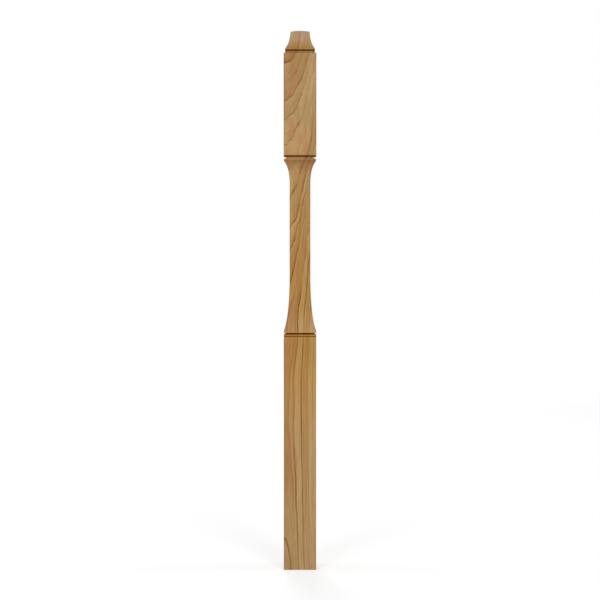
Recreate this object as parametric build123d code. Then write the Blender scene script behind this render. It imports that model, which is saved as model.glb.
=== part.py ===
from build123d import *
import os

# Landing newel post: one length of square hardwood, milled alike on its four faces.
# Millimetres, +Z up, origin at the centre of the underside.

# Widths across the flats.
block_width = 82.55          # lower and upper block, 3-1/4 in stock
shaft_width = 52.7           # slender middle
neck_width = 69.2            # recess between upper block and cap
cap_base_width = 75.2
cap_top_width = 47.2

# Lengths, stacked from the floor upwards. Together they come to 1371.6, 54 in.
lower_block_height = 594.8
score_height = 2.2           # fine V line around the lower block
land_height = 1.8            # plain strip between the line and the notch
lower_notch_height = 6.5
flare_lip_height = 2.4       # upright edge at the foot of the flare
flare_height = 140.6         # long hollow flare, lower block to shaft
shaft_length = 234.7
cove_height = 61.8           # short hollow flare, shaft to upper block
upper_notch_height = 9.8
upper_block_height = 257.7
neck_height = 5.4
cap_notch_height = 3.2
cap_band_height = 3.1        # upright band at the foot of the cap
cap_sweep_height = 47.6      # hollow sweep of the cap, up to the crown

# Notches: a square shoulder above, a bevel below that ends on a small ledge.
score_depth = 1.8
lower_notch_depth = 8.3
upper_notch_depth = 11.9
cap_notch_depth = 3.4        # cut into the neck, with no ledge
notch_ledge = 1.6

# Hollow curves. A pull is the share of the height over which an end keeps its own
# direction; a draw is the share of the width taken in over the pull at the foot.
flare_shaft_pull = 0.37
flare_block_pull = 0.22
flare_draw = 0.74
cove_shaft_pull = 0.35
cove_block_pull = 0.27
cove_draw = 0.84
cap_top_pull = 0.30
cap_top_draw = 0.08
cap_base_pull = 0.285
cap_base_draw = 0.80

crown_radius = 150.0         # slight dome on the cap
crown_stock = 2.0            # wood above the dome before it is rounded over
arris_ease = 0.8             # flat taken off the long corner edges

# Heights of the changes of form.
score_foot = lower_block_height
score_top = score_foot + score_height
lower_ledge = score_top + land_height
lower_shoulder = lower_ledge + lower_notch_height
flare_foot = lower_shoulder + flare_lip_height
shaft_foot = flare_foot + flare_height
shaft_top = shaft_foot + shaft_length
upper_ledge = shaft_top + cove_height
upper_shoulder = upper_ledge + upper_notch_height
block_top = upper_shoulder + upper_block_height
neck_top = block_top + neck_height
cap_foot = neck_top + cap_notch_height
sweep_foot = cap_foot + cap_band_height
post_height = sweep_foot + cap_sweep_height

block = block_width / 2
shaft = shaft_width / 2
neck = neck_width / 2
cap_base = cap_base_width / 2
cap_top = cap_top_width / 2
waist = block - shaft
cap_waist = cap_base - cap_top

# Half outline of one face from the foot upwards, as (half width, height). A run of two
# points is a straight edge, a run of four is a curve with two control points.
outline = [
    [(block, 0), (block, score_foot)],
    [(block, score_foot), (block - score_depth, score_foot + score_height / 2)],
    [(block - score_depth, score_foot + score_height / 2), (block, score_top)],
    [(block, score_top), (block, lower_ledge)],
    [(block, lower_ledge), (block - notch_ledge, lower_ledge)],
    [(block - notch_ledge, lower_ledge), (block - lower_notch_depth, lower_shoulder)],
    [(block - lower_notch_depth, lower_shoulder), (block, lower_shoulder)],
    [(block, lower_shoulder), (block, flare_foot)],
    [
        (block, flare_foot),
        (block - flare_draw * waist, flare_foot + flare_block_pull * flare_height),
        (shaft, shaft_foot - flare_shaft_pull * flare_height),
        (shaft, shaft_foot),
    ],
    [(shaft, shaft_foot), (shaft, shaft_top)],
    [
        (shaft, shaft_top),
        (shaft, shaft_top + cove_shaft_pull * cove_height),
        (block - cove_draw * waist, upper_ledge - cove_block_pull * cove_height),
        (block, upper_ledge),
    ],
    [(block, upper_ledge), (block - notch_ledge, upper_ledge)],
    [(block - notch_ledge, upper_ledge), (block - upper_notch_depth, upper_shoulder)],
    [(block - upper_notch_depth, upper_shoulder), (block, upper_shoulder)],
    [(block, upper_shoulder), (block, block_top)],
    [(block, block_top), (neck, block_top)],
    [(neck, block_top), (neck, neck_top)],
    [(neck, neck_top), (neck - cap_notch_depth, cap_foot)],
    [(neck - cap_notch_depth, cap_foot), (cap_base, cap_foot)],
    [(cap_base, cap_foot), (cap_base, sweep_foot)],
    [
        (cap_base, sweep_foot),
        (cap_base - cap_base_draw * cap_waist, sweep_foot + cap_base_pull * cap_sweep_height),
        (cap_top + cap_top_draw * cap_waist, post_height - cap_top_pull * cap_sweep_height),
        (cap_top, post_height),
    ],
    [(cap_top, post_height), (cap_top, post_height + crown_stock)],
]


def slab(turn, spread, inset):
    """The whole outline on both sides, run straight through the post at one turn about Z.
    Every half width is spread and inset, so that a diagonal run trims the long corners."""
    edges = []
    for side in (1, -1):
        for run in outline:
            points = [(side * (spread * half - inset), height) for half, height in run]
            edges.append(Line(*points) if len(points) == 2 else Bezier(*points))
    foot = spread * block - inset
    head = spread * cap_top - inset
    edges.append(Line((-foot, 0), (foot, 0)))
    edges.append(Line((-head, post_height + crown_stock), (head, post_height + crown_stock)))
    face = Plane.XZ * make_face(edges)
    return Rot(0, 0, turn) * extrude(face, amount=block_width, both=True)


diagonal = 2 ** 0.5
post = slab(0, 1, 0) & slab(90, 1, 0)
post &= slab(45, diagonal, arris_ease / diagonal)
post &= slab(135, diagonal, arris_ease / diagonal)

# Rounded crown: what stands outside the dome is taken off the top of the cap.
blank_height = cap_sweep_height + 2 * crown_stock
blank = Pos(0, 0, sweep_foot) * Box(
    block_width, block_width, blank_height, align=(Align.CENTER, Align.CENTER, Align.MIN)
)
dome = Pos(0, 0, post_height - crown_radius) * Sphere(crown_radius)
post -= blank - dome

os.makedirs("parts", exist_ok=True)
export_step(post, "parts/newel_post.step")
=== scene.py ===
import math

import bpy
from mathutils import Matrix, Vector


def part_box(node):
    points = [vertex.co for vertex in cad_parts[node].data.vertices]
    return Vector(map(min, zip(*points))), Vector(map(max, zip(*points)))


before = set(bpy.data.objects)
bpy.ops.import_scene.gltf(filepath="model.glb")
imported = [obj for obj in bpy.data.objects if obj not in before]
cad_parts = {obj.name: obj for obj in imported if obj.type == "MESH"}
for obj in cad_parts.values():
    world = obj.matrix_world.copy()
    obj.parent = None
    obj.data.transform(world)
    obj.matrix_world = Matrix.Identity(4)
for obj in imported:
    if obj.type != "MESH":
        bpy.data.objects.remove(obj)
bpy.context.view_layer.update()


# The post. One length of clear golden hardwood, moulded on all four sides and sanded, with
# nothing fixed to it. It keeps its own solid shape and takes the wood that it is cut from:
# growth rings that run right through it, round the heart of a slightly swept trunk.
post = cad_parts["newel_post"]
millimetres = 1000.0
high_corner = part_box("newel_post")[1]
block_half = high_corner[0] * millimetres
post_height = high_corner[2]

# Heights of some mouldings above the foot, in millimetres.
scored_line = 595.9
lower_notch = 602.6
low_flare = 655.0
block_top = 1312.0
neck = 1316.5
cap_groove = 1319.4

wood = bpy.data.materials.new("golden_hardwood")
wood.use_nodes = True
shades = wood.node_tree
shades.nodes.clear()


def place(kind, **settings):
    """A new node, with its options set."""
    made = shades.nodes.new(kind)
    for option, value in settings.items():
        setattr(made, option, value)
    return made


def feed(socket, source):
    """A socket takes another node's output or a plain value."""
    if isinstance(source, bpy.types.NodeSocket):
        shades.links.new(source, socket)
    else:
        socket.default_value = source


def work(operation, *sources, clamp=False):
    """One step of arithmetic on numbers."""
    step = place("ShaderNodeMath", operation=operation, use_clamp=clamp)
    for socket, source in zip(step.inputs, sources):
        feed(socket, source)
    return step.outputs[0]


def product(first, *others):
    """Numbers multiplied together."""
    for other in others:
        first = work("MULTIPLY", first, other)
    return first


def greatest(first, *others):
    """The greatest of some numbers."""
    for other in others:
        first = work("MAXIMUM", first, other)
    return first


def ramp(source, low, high, low_out=0.0, high_out=1.0, kind="SMOOTHSTEP"):
    """A number eased from one value to another as the source goes from low to high."""
    step = place("ShaderNodeMapRange", interpolation_type=kind)
    for name, value in (("Value", source), ("From Min", low), ("From Max", high),
                        ("To Min", low_out), ("To Max", high_out)):
        feed(step.inputs[name], value)
    return step.outputs["Result"]


def cloud(x, y, z, wide, thick, tall, detail=2.0, roughness=0.5):
    """Soft noise, centred on nought, in lumps of a size in millimetres each way."""
    where = place("ShaderNodeCombineXYZ")
    for socket, value, size in zip(where.inputs, (x, y, z), (wide, thick, tall)):
        feed(socket, work("DIVIDE", value, size))
    step = place("ShaderNodeTexNoise")
    feed(step.inputs["Vector"], where.outputs[0])
    feed(step.inputs["Scale"], 1.0)
    feed(step.inputs["Detail"], detail)
    feed(step.inputs["Roughness"], roughness)
    return work("SUBTRACT", step.outputs["Fac"], 0.5)


def blend(amount, first, second, mode="MIX"):
    """Two colours mixed, or the first one tinted by the second."""
    step = place("ShaderNodeMix", data_type="RGBA", blend_type=mode)
    feed(step.inputs[0], amount)
    feed(step.inputs[6], first)
    feed(step.inputs[7], second)
    return step.outputs[2]


# Where a point lies in the wood, in millimetres, and which way its surface faces.
spot = place("ShaderNodeTexCoord")
spot_split = place("ShaderNodeSeparateXYZ")
feed(spot_split.inputs[0], spot.outputs["Object"])
across = work("MULTIPLY", spot_split.outputs["X"], millimetres)
deep = work("MULTIPLY", spot_split.outputs["Y"], millimetres)
up = work("MULTIPLY", spot_split.outputs["Z"], millimetres)

facing = place("ShaderNodeNewGeometry")
facing_split = place("ShaderNodeSeparateXYZ")
feed(facing_split.inputs[0], facing.outputs["True Normal"])
facing_across = facing_split.outputs["X"]
facing_deep = facing_split.outputs["Y"]
facing_up = facing_split.outputs["Z"]
slope = work("ABSOLUTE", facing_up)
end_grain = ramp(slope, 0.86, 0.94)


def near(height, full_within, gone_by, strength=1.0):
    """A number that is full near a height and falls to nought on both sides of it."""
    return ramp(work("ABSOLUTE", work("SUBTRACT", up, height)), full_within, gone_by, strength, 0.0)


def between(begins, full, full_to, gone, strength=1.0):
    """A number that rises over one stretch of heights and falls again over another."""
    return product(ramp(up, begins, full, 0.0, strength), ramp(up, full_to, gone, 1.0, 0.0))


# The rings are read at the depth of the block's own faces, so that they run on over the
# hollows as they do on a post bent to its outline.
out_from_middle = greatest(work("ABSOLUTE", across), work("ABSOLUTE", deep), 1.0)
stretch = work("DIVIDE", block_half, out_from_middle)
stretch = ramp(end_grain, 0.0, 1.0, stretch, 1.0, "LINEAR")
face_depth = work("MULTIPLY", deep, stretch)

# The heart of the trunk: beside the left corner of the post, well behind its front. It is
# swept away from the front below and above the widest place, and stands straighter again
# over the cap.
heart_across = -38.0
heart_behind_front = 230.0
sweep_height = 476.0
sweep_above = 4.7e-5
sweep_below = 0.8e-5
straight_from = 1318.0
straightening = 0.7
over_the_cap = greatest(work("SUBTRACT", up, straight_from), 0.0)
over_the_cap = work("MULTIPLY", over_the_cap, straightening)
above = work("SUBTRACT", work("SUBTRACT", up, over_the_cap), sweep_height)
lean_above = work("POWER", work("MAXIMUM", above, 0.0), 2.0)
lean_above = work("MULTIPLY", lean_above, sweep_above)
lean_below = work("POWER", work("MINIMUM", above, 0.0), 2.0)
lean_below = work("MULTIPLY", lean_below, sweep_below)
front_to_heart = work("SUBTRACT", heart_behind_front, work("ADD", lean_above, lean_below))
from_heart_across = work("SUBTRACT", across, heart_across)
from_heart_deep = work("SUBTRACT", work("ADD", face_depth, block_half), front_to_heart)
ring = work("POWER", from_heart_across, 2.0)
ring = work("SQRT", work("ADD", ring, work("POWER", from_heart_deep, 2.0)))

# How squarely the growth rings cut the face. Where they lie nearly flat in it, their lines
# are drawn finer and their teeth shorter, or they would spread into blots.
ring_across = work("DIVIDE", from_heart_across, ring)
ring_deep = work("DIVIDE", from_heart_deep, ring)
ring_along = greatest(above, work("MULTIPLY", above, -0.2))
ring_along = work("MULTIPLY", ring_along, 2 * sweep_above)
upright = work("SQRT", work("SUBTRACT", 1.0, work("POWER", slope, 2.0), clamp=True))
flat_in_face = work("MULTIPLY", ring_across, facing_across)
flat_in_face = work("MULTIPLY_ADD", ring_deep, facing_deep, flat_in_face)
flat_in_face = work("DIVIDE", flat_in_face, greatest(upright, 0.6))
cut = work("MULTIPLY_ADD", ring_along, ring_along, 1.0)
cut = work("SUBTRACT", cut, work("POWER", flat_in_face, 2.0))
cut = work("SQRT", greatest(cut, 0.0))
cut = ramp(cut, 0.01, 0.16, 0.08, 1.1, "LINEAR")
raggedness = work("MULTIPLY", cut, ramp(ring_along, 0.005, 0.045, 0.4, 2.1, "LINEAR"))

# The rings aren't true circles: they sway slowly along the trunk, swell a little at the head
# of the lower block, on the shaft and at the foot of the upper block, and are toothed.
sway = cloud(across, face_depth, up, wide=60.0, thick=60.0, tall=170.0)
sway = work("MULTIPLY", sway, ramp(up, 540.0, 780.0, 1.2, 3.0))
upper_swelling = between(1025.0, 1062.0, 1085.0, 1160.0, 2.2)
upper_swelling = work("MULTIPLY", upper_swelling, ramp(across, -5.0, 20.0))
lower_swelling = between(490.0, 575.0, 600.0, 660.0, 0.6)
shaft_swelling = between(878.0, 892.0, 905.0, 945.0, 0.55)
teeth = cloud(across, face_depth, up, wide=11.0, thick=11.0, tall=55.0, detail=3.0, roughness=0.6)
ring = work("ADD", ring, sway)
ring = work("SUBTRACT", ring, upper_swelling)
ring = work("SUBTRACT", ring, lower_swelling)
ring = work("SUBTRACT", ring, shaft_swelling)
ring = work("MULTIPLY_ADD", teeth, raggedness, ring)

# The years: the radius where each ends in a dark line, how dark that line is, how wide the
# brown late wood before it is, how brown the year's wood is in general, and the height where
# its line shows most and how far it goes on from there. They come round again in the same
# order past the last of them, on the sides and the back.
years = (
    (199.2, 1.0, 3.8, 0.68, 1300, 110),
    (202.5, 0.1, 1.0, 0.55, 1250, 200),
    (206.2, 0.6, 1.3, 0.78, 1240, 90),
    (209.3, 0.25, 0.6, 0.35, 1150, 80),
    (212.9, 0.32, 0.6, 0.15, 1100, 80),
    (216.6, 0.12, 0.4, 0.05, 1100, 200),
    (220.3, 0.9, 1.7, 0.05, 1010, 130),
    (223.4, 0.8, 1.2, 0.45, 970, 140),
    (225.4, 0.55, 1.1, 0.1, 870, 150),
    (227.4, 1.0, 1.7, 0.3, 766, 55),
    (228.8, 0.8, 0.4, 0.2, 40, 120),
    (230.2, 0.35, 0.3, 0.35, 430, 130),
    (231.1, 1.0, 1.0, 0.35, 190, 160),
    (233.8, 0.9, 0.8, -0.15, 540, 400),
    (237.2, 0.12, 0.4, 0.35, 300, 400),
    (240.6, 0.15, 0.6, -0.5, 300, 400),
    (244.0, 0.4, 0.8, -0.5, 300, 400),
)
first_ring = 196.0
radii, darknesses, late_widths, tones, clearest_at, reaches = zip(*years)
age = work("WRAP", ring, radii[-1], first_ring)
past_line = [work("GREATER_THAN", age, radius) for radius in radii[:-1]]


def in_its_year(values):
    """The value that goes with the year a point lies in."""
    found = values[0]
    for passed, earlier, later in zip(past_line, values, values[1:]):
        found = work("MULTIPLY_ADD", passed, later - earlier, found)
    return found


year_start = in_its_year((first_ring,) + radii[:-1])
year_end = in_its_year(radii)
season = work("SUBTRACT", age, year_start)
season = work("DIVIDE", season, work("SUBTRACT", year_end, year_start))
to_line = work("DIVIDE", work("SUBTRACT", year_end, age), cut)
line_width = ramp(up, block_top, block_top + 20.0, 0.65, 0.85)
line = ramp(to_line, 0.14, line_width, 1.0, 0.0)
line = work("MULTIPLY", line, in_its_year(darknesses))
late_wood = ramp(work("DIVIDE", to_line, in_its_year(late_widths)), 0.0, 1.0, 1.0, 0.0)

# The dark lines show most at one height each, and all of them do low on the flare. They
# fade and break along their length, and the cap has little brown late wood.
off_height = work("ABSOLUTE", work("SUBTRACT", up, in_its_year(clearest_at)))
off_height = work("DIVIDE", off_height, in_its_year(reaches))
clearness = greatest(ramp(off_height, 0.3, 1.5, 1.0, 0.35), near(low_flare, 30.0, 80.0))
fade = cloud(across, ring, up, wide=30.0, thick=3.0, tall=130.0, detail=2.0, roughness=0.55)
line = product(line, clearness, ramp(fade, -0.2, 0.1, 0.3, 1.0))
line = product(line, ramp(up, block_top, block_top + 20.0, 1.0, 0.7))
late_wood = product(late_wood, clearness, ramp(fade, -0.2, 0.1, 0.4, 1.0))
late_wood = product(late_wood, ramp(up, block_top, block_top + 20.0, 1.0, 0.25))

# Colour: pale early wood, browner late wood, drifting pink in places and olive in others.
pale_wood = (0.468, 0.298, 0.130, 1.0)
brown_wood = (0.358, 0.184, 0.062, 1.0)
pink_wood = (0.410, 0.205, 0.090, 1.0)
olive_wood = (0.345, 0.245, 0.088, 1.0)
late_colour = (0.290, 0.130, 0.026, 1.0)
line_colour = (0.135, 0.052, 0.010, 1.0)
broad = cloud(across, face_depth, up, wide=26.0, thick=26.0, tall=210.0)
streak = cloud(across, ring, up, wide=34.0, thick=0.75, tall=190.0, detail=3.0, roughness=0.6)
fibre = cloud(across, deep, up, wide=4.2, thick=4.2, tall=150.0, detail=3.0, roughness=0.6)
hair = cloud(across, deep, up, wide=0.9, thick=0.9, tall=36.0, detail=2.0, roughness=0.6)

streak_share = ramp(up, 900.0, 1100.0, 1.7, 1.2)
brownness = in_its_year(tones)
for figure, share in ((season, 0.3), (streak, streak_share), (fibre, 1.4), (broad, 0.9)):
    brownness = work("MULTIPLY_ADD", figure, share, brownness)
brownness = work("ADD", brownness, 0.0, clamp=True)
colour = blend(brownness, pale_wood, brown_wood)

patches = cloud(across, face_depth, up, wide=15.0, thick=15.0, tall=70.0)
threads = cloud(across, ring, up, wide=40.0, thick=1.3, tall=180.0)
drift = work("MULTIPLY", patches, ramp(up, 500.0, 900.0, 0.35, 1.0))
drift = work("MULTIPLY_ADD", threads, ramp(up, 900.0, 1100.0, 0.6, 0.3), drift)
colour = blend(ramp(drift, 0.02, 0.18, 0.0, 0.8), colour, pink_wood)
middle = between(280.0, 540.0, 760.0, 1060.0)
olive_share = ramp(drift, -0.02, -0.18, 0.0, 0.7)
olive_share = work("MULTIPLY", olive_share, ramp(middle, 0.0, 1.0, 1.0, 0.5))
colour = blend(olive_share, colour, olive_wood)
late_strength = 0.72
line_strength = 0.88
colour = blend(work("MULTIPLY", late_wood, late_strength), colour, late_colour)
colour = blend(work("MULTIPLY", line, line_strength), colour, line_colour)

# Tints along the post, some of them painted light: the heights where each begins, is full,
# is still full and is gone, and what the colour of the wood is multiplied by there.
tints_and_painted_light = (
    (280.0, 540.0, 760.0, 1060.0, (0.975, 0.905, 0.66, 1.0)),       # warmer middle
    (0.0, 0.1, 50.0, 130.0, (0.99, 1.03, 1.10, 1.0)),               # greyer foot
    (480.0, 585.0, 588.0, 594.0, (0.93, 0.885, 0.84, 1.0)),         # redder head of lower block
    (606.0, 616.0, 700.0, 800.0, (0.95, 0.925, 0.90, 1.0)),         # darker flare
    (606.0, 608.0, 616.0, 680.0, (1.0, 1.08, 1.38, 1.0)),           # painted sheen: greyer, bluer foot of the flare
    (1042.6, 1043.6, 1045.5, 1046.2, (1.25, 1.29, 1.45, 1.0)),      # painted highlight along the ledge
    (1050.3, 1051.3, 1054.2, 1054.6, (1.6, 1.4, 1.0, 1.0)),         # painted bounce light, paler and redder, in the notch
    (1080.0, 1180.0, 1312.0, 1318.0, (0.955, 0.97, 1.05, 1.0)),     # greyer upper block
    (1326.0, 1358.0, 1400.0, 1410.0, (1.02, 1.21, 1.85, 1.0)),      # greyer top of the cap
)
for begins, full, full_to, gone, tint in tints_and_painted_light:
    colour = blend(between(begins, full, full_to, gone), colour, tint, "MULTIPLY")

# Fine hairs along the grain, stronger on the end grain.
hair_shade = work("MULTIPLY_ADD", end_grain, 0.5, 0.38)
hair_shade = work("MULTIPLY_ADD", hair, hair_shade, 1.0)
colour = blend(1.0, colour, hair_shade, "MULTIPLY")

# Cut across the grain, wood takes the finish darker. Undersides get painted shade, darker and
# redder; up-facing bevels are darker, partly as end grain and partly as painted shade. Painted
# shade also lies on the corners, along the lower edge of the upper block, at the foot of the cap
# and in the neck, and most of all in the scored line, the lower notch and the groove under the cap.
# Painted shade: surfaces that face down get a darker, redder colour.
underside_shade_colour = (0.275, 0.100, 0.022, 1.0)
stained_and_shaded_wood = (0.235, 0.104, 0.028, 1.0)
# The colour of the darkest painted shade, in the recesses.
recess_shade_colour = (0.235, 0.076, 0.007, 1.0)
painted_shade_on_undersides = ramp(facing_up, -0.1, -0.7, 0.0, 0.6)
colour = blend(painted_shade_on_undersides, colour, underside_shade_colour)
# Up-facing bevels and slopes are darker, partly as end grain and partly as painted shade.
bevel_stain_and_shade = ramp(facing_up, 0.3, 0.7, 0.0, 0.22)
on_end_grain = work("MULTIPLY", end_grain, 0.42)
# Painted shade along the corners of the post.
painted_shade_on_corners = work("ABSOLUTE", work("MULTIPLY", facing_across, facing_deep))
painted_shade_on_corners = ramp(painted_shade_on_corners, 0.25, 0.42, 0.0, 0.7)
# Painted shade at the foot of the cap, under its overhang.
painted_shade_on_cap_foot = between(1311.0, 1321.0, 1322.0, 1350.0, 0.38)
# Painted shade along the lower edge of the upper block, above the notch.
painted_shade_on_lower_edge = between(1054.0, 1054.6, 1055.4, 1056.0, 0.9)
# Painted shade in the neck under the cap.
painted_shade_in_neck = near(neck, 4.0, 6.0, 0.5)
# The end grain's stain and the painted shade, whichever is strongest, darken the wood.
stain_and_painted_shade = greatest(bevel_stain_and_shade, on_end_grain, painted_shade_on_corners, painted_shade_on_cap_foot, painted_shade_on_lower_edge, painted_shade_in_neck)
colour = blend(stain_and_painted_shade, colour, stained_and_shaded_wood)
# Painted shade, darkest, in the scored line, the lower notch and the groove under the cap.
painted_shade_in_line = near(scored_line, 0.9, 1.8, 0.95)
painted_shade_in_notch = near(lower_notch, 1.8, 3.4, 0.9)
painted_shade_in_groove = near(cap_groove, 1.4, 2.6)
colour = blend(greatest(painted_shade_in_line, painted_shade_in_notch, painted_shade_in_groove), colour, recess_shade_colour)

# The surface: sanded and matt, duller on the end grain, with the hairs standing a little
# proud and the dark lines a little low.
skin = place("ShaderNodeBsdfPrincipled")
feed(skin.inputs["Base Color"], colour)
roughness = work("MULTIPLY_ADD", fibre, 0.25, 0.62)
roughness = work("ADD", roughness, work("MULTIPLY", end_grain, 0.3), clamp=True)
feed(skin.inputs["Roughness"], roughness)
feed(skin.inputs["Specular IOR Level"], 0.1)
grain_relief = place("ShaderNodeBump")
feed(grain_relief.inputs["Strength"], 0.35)
feed(grain_relief.inputs["Distance"], 0.0002)
feed(grain_relief.inputs["Height"], work("SUBTRACT", hair, line))
feed(skin.inputs["Normal"], grain_relief.outputs[0])
finish = place("ShaderNodeOutputMaterial")
feed(finish.inputs["Surface"], skin.outputs[0])

post.data.materials[0] = wood


# The room. A white floor that keeps the post's shadow, a white wall all round, and soft
# boxes on every side. The floor and the wall are white to the eye, and dimmer to the post.
bpy.ops.mesh.primitive_plane_add(size=16.0)
floor = bpy.context.object
floor.name = "floor"
floor_paint = bpy.data.materials.new("white_floor")
floor_paint.use_nodes = True
shades = floor_paint.node_tree
shades.nodes.clear()


def seen_by_the_eye():
    """One for what the camera sees, straight, in a gloss or through glass, else nought."""
    seen = place("ShaderNodeLightPath")
    rays = ("Is Camera Ray", "Is Glossy Ray", "Is Transmission Ray")
    return greatest(*(seen.outputs[ray] for ray in rays))


matt = place("ShaderNodeBsdfDiffuse")
feed(matt.inputs["Color"], (0.4, 0.4, 0.4, 1.0))
floor_spot = place("ShaderNodeTexCoord")
from_post = place("ShaderNodeVectorMath", operation="LENGTH")
feed(from_post.inputs[0], floor_spot.outputs["Object"])
whitening = place("ShaderNodeEmission")
feed(whitening.inputs["Strength"], ramp(from_post.outputs["Value"], 3.5, 6.5, 0.56, 0.86))
nothing = place("ShaderNodeEmission")
feed(nothing.inputs["Strength"], 0.0)
pick = place("ShaderNodeMixShader")
feed(pick.inputs[0], seen_by_the_eye())
feed(pick.inputs[1], nothing.outputs[0])
feed(pick.inputs[2], whitening.outputs[0])
both = place("ShaderNodeAddShader")
feed(both.inputs[0], matt.outputs[0])
feed(both.inputs[1], pick.outputs[0])
floor_finish = place("ShaderNodeOutputMaterial")
feed(floor_finish.inputs["Surface"], both.outputs[0])
floor.data.materials.append(floor_paint)

world = bpy.data.worlds.new("white_studio")
bpy.context.scene.world = world
world.use_nodes = True
shades = world.node_tree
wall = shades.nodes["Background"]
feed(wall.inputs["Color"], (1.0, 1.0, 1.0, 1.0))
feed(wall.inputs["Strength"], ramp(seen_by_the_eye(), 0.0, 1.0, 0.35, 1.0, "LINEAR"))


def soft_box(name, stands_at, size, power):
    """A square lamp at a place, turned to the middle of the post."""
    light = bpy.data.lights.new(name, "AREA")
    light.size = size
    light.energy = power
    box = bpy.data.objects.new(name, light)
    bpy.context.collection.objects.link(box)
    box.location = stands_at
    x, y, z = stands_at
    tilt = math.atan2(math.hypot(x, y), z - post_height / 2)
    box.rotation_euler = (tilt, 0.0, math.atan2(-y, -x) - math.pi / 2)


soft_box("front_left_box", (-2.3, -5.0, 4.6), 2.0, 122.0)
soft_box("front_right_box", (2.0, -5.1, 3.8), 2.0, 156.0)
soft_box("low_front_box", (0.4, -5.2, 0.5), 1.6, 37.0)
soft_box("left_box", (-4.6, 0.6, 1.4), 1.4, 70.0)
soft_box("right_box", (4.6, 0.3, 1.4), 1.4, 82.0)
soft_box("back_box", (-0.6, 4.4, 3.3), 1.6, 130.0)


# The camera. It stands square to the front of the post, a little above half its height, on
# a long lens, and is tipped slightly down.
camera_data = bpy.data.cameras.new("camera")
camera_data.lens = 89.05
camera_data.sensor_width = 36.0
camera = bpy.data.objects.new("camera", camera_data)
bpy.context.collection.objects.link(camera)
camera.location = (0.0, -3.8, 0.824)
tipped_down = 2.057
camera.rotation_euler = (math.radians(90.0 - tipped_down), 0.0, 0.0)
bpy.context.scene.camera = camera

bpy.context.scene.view_settings.view_transform = "Standard"
